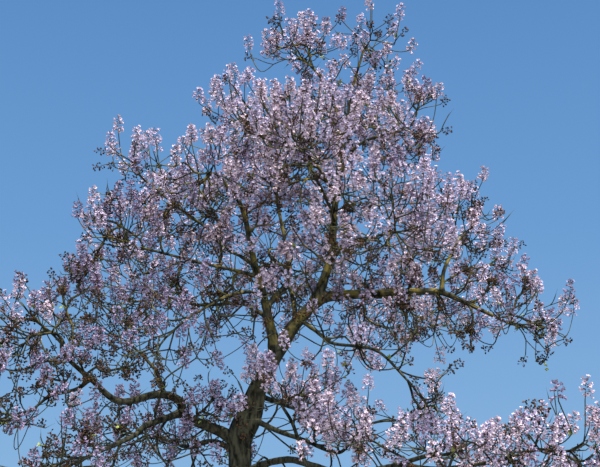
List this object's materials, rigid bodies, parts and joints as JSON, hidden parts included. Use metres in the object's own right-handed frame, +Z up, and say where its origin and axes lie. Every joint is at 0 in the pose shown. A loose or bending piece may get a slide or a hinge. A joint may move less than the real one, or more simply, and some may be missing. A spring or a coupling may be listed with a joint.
{
  "type": "paulownia tree",
  "caption": "Paulownia tree in full blossom: a flared trunk, long spreading boughs, and masses of bare twigs with upright violet flower panicles and old seed capsules.",
  "frame": {"origin": "middle of the flat cut under the trunk, at ground level", "axes": "+Z up, +X to the right and +Y away, as the picture shows the tree"},
  "size_m": [10.5752, 10.9521, 13.5382],
  "materials": {
    "bark": "rough grey-brown bark with yellow-olive lichen",
    "twig": "smoother grey-brown twigs",
    "blossom": "soft matte petals, pale violet",
    "capsule": "dry woody husks, dark brown",
    "leaf": "soft young leaves, yellow-green"
  },
  "bodies": {
    "root": {"back_high_bough": "bark", "back_left_bough": "bark", "back_low_bough": "bark", "back_right_bough": "bark", "far_left_bough": "bark", "front_high_bough": "bark", "front_riser": "bark", "leader": "bark", "left_back_bough": "bark", "left_bough": "bark", "left_hanging_bough": "bark", "left_long_bough": "bark", "left_low_bough": "bark", "left_middle_bough": "bark", "left_rising_bough": "bark", "left_shoulder_bough": "bark", "left_stem": "bark", "middle_stem": "bark", "right_bottom_bough": "bark", "right_bough": "bark", "right_corner_bough": "bark", "right_drooping_bough": "bark", "right_leader": "bark", "right_low_bough": "bark", "right_middle_bough": "bark", "right_rising_bough": "bark", "top_back_bough": "bark", "trunk": "bark", "upper_left_bough": "bark", "upper_right_bough": "bark", "back_high_mass": "blossom", "back_left_mass": "blossom", "back_low_mass": "blossom", "back_right_mass": "blossom", "far_left_mass": "blossom", "front_high_mass": "blossom", "front_mass": "blossom", "leader_mass": "blossom", "left_back_mass": "blossom", "left_far_mass": "blossom", "left_hanging_mass": "blossom", "left_long_mass": "blossom", "left_low_mass": "blossom", "left_middle_mass": "blossom", "left_rising_mass": "blossom", "left_shoulder_mass": "blossom", "left_stem_mass": "blossom", "middle_mass": "blossom", "right_bottom_mass": "blossom", "right_corner_mass": "blossom", "right_drooping_mass": "blossom", "right_end_mass": "blossom", "right_leader_mass": "blossom", "right_low_mass": "blossom", "right_middle_mass": "blossom", "right_rising_mass": "blossom", "top_back_mass": "blossom", "upper_left_mass": "blossom", "upper_right_mass": "blossom"}
  },
  "joints": []
}
